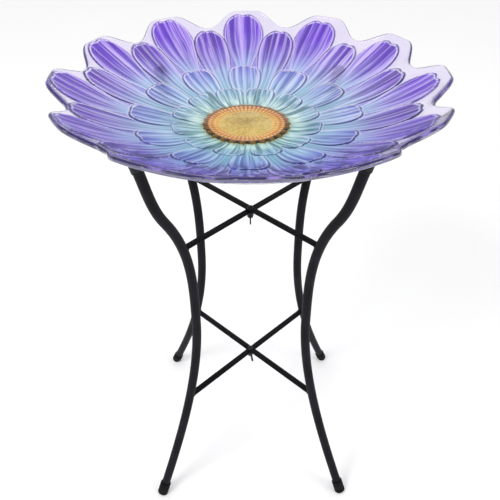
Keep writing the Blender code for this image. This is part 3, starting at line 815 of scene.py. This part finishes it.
def top_cap_shape():
    reach = (TOP_CAP_END + CAP_GAP) / math.hypot(1.0, LEG_TOP_SLOPE)
    cap = lathed(cap_profile(TOP_CAP_RADIUS, TOP_CAP_LENGTH, TOP_CAP_END, TOP_CAP_EDGE,
                             TOP_CAP_GROOVES))
    height = LEG_TOP_HEIGHT + reach
    return on_axis(cap, leg_radius(height), height, LEG_TOP_SLOPE, downward=True)


def drilled(shape, radius):
    """The shape with a round hole through it along the centre axis."""
    heights = shape[0][:, 2]
    low, high = heights.min() - 1.0, heights.max() + 1.0
    helpers = []
    for helper_points, helper_faces in (shape, lathed([(radius, low), (radius, high)])):
        mesh = bpy.data.meshes.new("helper")
        mesh.from_pydata(helper_points.tolist(), [], [tuple(face) for face in helper_faces])
        helpers.append(make_object("helper", mesh))
    blank, drill = helpers
    cut = blank.modifiers.new("Drill", "BOOLEAN")
    cut.operation, cut.solver, cut.object = "DIFFERENCE", "EXACT", drill
    mesh = bpy.data.meshes.new_from_object(blank.evaluated_get(bpy.context.evaluated_depsgraph_get()))
    result = (np.array([vertex.co for vertex in mesh.vertices]),
              [tuple(polygon.vertices) for polygon in mesh.polygons])
    for helper in helpers:
        bpy.data.objects.remove(helper, do_unlink=True)
    return result


def strip_bar(height, reach):
    """A flat bar with rounded edges along X, its middle at a height."""
    corner_y, corner_z = STRIP_WIDTH / 2 - STRIP_EDGE, STRIP_THICKNESS / 2 - STRIP_EDGE
    outline = []
    for sign_y, sign_z, start in ((1, 1, 0), (-1, 1, 90), (-1, -1, 180), (1, -1, 270)):
        outline += quarter((sign_y * corner_y, sign_z * corner_z), STRIP_EDGE, start, start + 90, 4)
    outline = np.array(outline)
    places = np.linspace(-reach + 0.5, reach - 0.5, STRIP_STEPS)
    places = np.concatenate([[-reach], places, [reach]])
    rings = [np.stack([np.full(len(outline), place), outline[:, 0], outline[:, 1] + height], axis=-1)
             for place in places]
    return closed_rings(rings)


def weld_bead(height):
    """A rippled bead around the inner side of the leg on +X, at a height."""
    turns = np.radians(np.linspace(-BEAD_HALF_ANGLE, BEAD_HALF_ANGLE, BEAD_STEPS))
    seam_radius = TUBE_RADIUS + 0.3
    path_x, path_y = leg_radius(height) - seam_radius * np.cos(turns), seam_radius * np.sin(turns)
    size = BEAD_RADIUS + BEAD_RIPPLE * np.cos(turns * BEAD_RIPPLES)
    size[[0, -1]] = 0.15
    points, faces = swept(np.stack([path_x, path_y], axis=-1), size, AROUND_BEAD)
    points = np.stack([points[:, 0], points[:, 2], points[:, 1] + height], axis=-1)
    return points, [face[::-1] for face in faces]


def strip_shape(height):
    """A flat strip with a drilled middle, and the weld beads at its two ends."""
    reach = leg_radius(height) - TUBE_RADIUS + WELD_OVERLAP
    face = STRIP_THICKNESS / 2 + 0.1
    beads = [turned_about_z(weld_bead(height + level), azimuth)
             for azimuth in (0, 180) for level in (face, -face)]
    return joined(drilled(strip_bar(height, reach), BOLT_HOLE_RADIUS), *beads)


# ---------------------------------------------------------------- build

dish_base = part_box("glass_dish")[0].z
dish = make_object("flower_dish", dish_mesh())
dish.location = (0.0, 0.0, dish_base + GLASS_THICKNESS * MM)
dish.rotation_euler = (0.0, 0.0, DISH_TURN)
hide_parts("glass_dish")
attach(dish, "dish")

tube_coat = coated_steel("satin_black_tube", (0.05, 0.05, 0.07), 0.50, 0.11)
strip_coat = coated_steel("satin_black_strip", (0.04, 0.04, 0.05), 0.52, 0.10)
rubber = molded_cap("black_foot_rubber", (0.05, 0.05, 0.055), 0.70, 900.0)
vinyl = molded_cap("black_cap_vinyl", (0.08, 0.08, 0.10), 0.42, 1400.0)
zinc = black_zinc("black_zinc_hardware", (0.06, 0.06, 0.07))

leg, foot_cap, top_cap = leg_shape(), foot_cap_shape(), top_cap_shape()
for corner, azimuth in AZIMUTHS.items():
    body = FRAMES[corner]
    stand_piece(f"bent_tube_{corner}", turned_about_z(leg, azimuth),
                tube_coat, body, f"leg_{corner}")
    stand_piece(f"rubber_foot_{corner}", turned_about_z(foot_cap, azimuth),
                rubber, body, f"foot_cap_{corner}")
    stand_piece(f"vinyl_cap_{corner}", turned_about_z(top_cap, azimuth),
                vinyl, body, f"top_cap_{corner}")

for level in ("lower", "upper"):
    for letter, azimuth in (("a", 315), ("b", 45)):
        node_name = f"{level}_crossbar_{letter}"
        low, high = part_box(node_name)
        strip = turned_about_z(strip_shape((low.z + high.z) / 2 / MM), azimuth)
        stand_piece(f"welded_strip_{level}_{letter}", strip,
                    strip_coat, f"frame_{letter}", node_name)

for name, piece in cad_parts.items():
    if any(word in name for word in ("bolt", "washer", "wing_nut")):
        for slot in piece.material_slots:
            slot.material = zinc


# ---------------------------------------------------------------- stage, camera, lights

FLOOR_REACH, FLOOR_LEVEL = 8.0, -0.0003       # just under the feet, so that no faces coincide
WORLD_STRENGTH = 0.90
CAMERA_LENS, CAMERA_SENSOR = 44.73, 36.0
CAMERA_PLACE = (-0.0095, -0.6837, 0.911)
CAMERA_TILT, CAMERA_TURN = math.radians(52.02), math.radians(-0.76)


def pale_floor():
    material, tree, shader = new_material("pale_floor", Roughness=0.6)
    wash = noise(tree, object_point(tree), 3.0)
    tone = blend(tree, wash, (0.96, 0.96, 0.96, 1.0), (0.98, 0.98, 0.98, 1.0))
    tree.links.new(tone, shader.inputs["Base Color"])
    return material


floor_corners = [(x * FLOOR_REACH, y * FLOOR_REACH, FLOOR_LEVEL)
                 for x, y in ((-1, -1), (1, -1), (1, 1), (-1, 1))]
floor_mesh = bpy.data.meshes.new("floor")
floor_mesh.from_pydata(floor_corners, [], [(0, 1, 2, 3)])
floor_mesh.materials.append(pale_floor())
floor = make_object("floor", floor_mesh)


def soft_light(name, place, target, power):
    """A light panel of 1 m by 1 m that faces a point; power in watts."""
    lamp = bpy.data.lights.new(name, "AREA")
    lamp.shape = "RECTANGLE"
    lamp.size = lamp.size_y = 1.0
    lamp.energy = power
    made = make_object(name, lamp)
    made.location = place
    made.rotation_euler = (Vector(target) - Vector(place)).to_track_quat("-Z", "Y").to_euler()


soft_light("key_light", (-1.5, -1.3, 2.4), (0, 0, 0.4), 30)
soft_light("fill_light", (1.9, -1.0, 1.8), (0, 0, 0.3), 11)

world = bpy.data.worlds.new("studio")
world.use_nodes = True
background = world.node_tree.nodes["Background"]
background.inputs["Color"].default_value = (1.0, 1.0, 1.0, 1.0)
background.inputs["Strength"].default_value = WORLD_STRENGTH
scene.world = world

camera_data = bpy.data.cameras.new("camera")
camera_data.lens = CAMERA_LENS
camera_data.sensor_width = CAMERA_SENSOR
camera = make_object("camera", camera_data)
camera.location = CAMERA_PLACE
camera.rotation_euler = (CAMERA_TILT, 0.0, CAMERA_TURN)
scene.camera = camera
scene.view_settings.view_transform = "Standard"
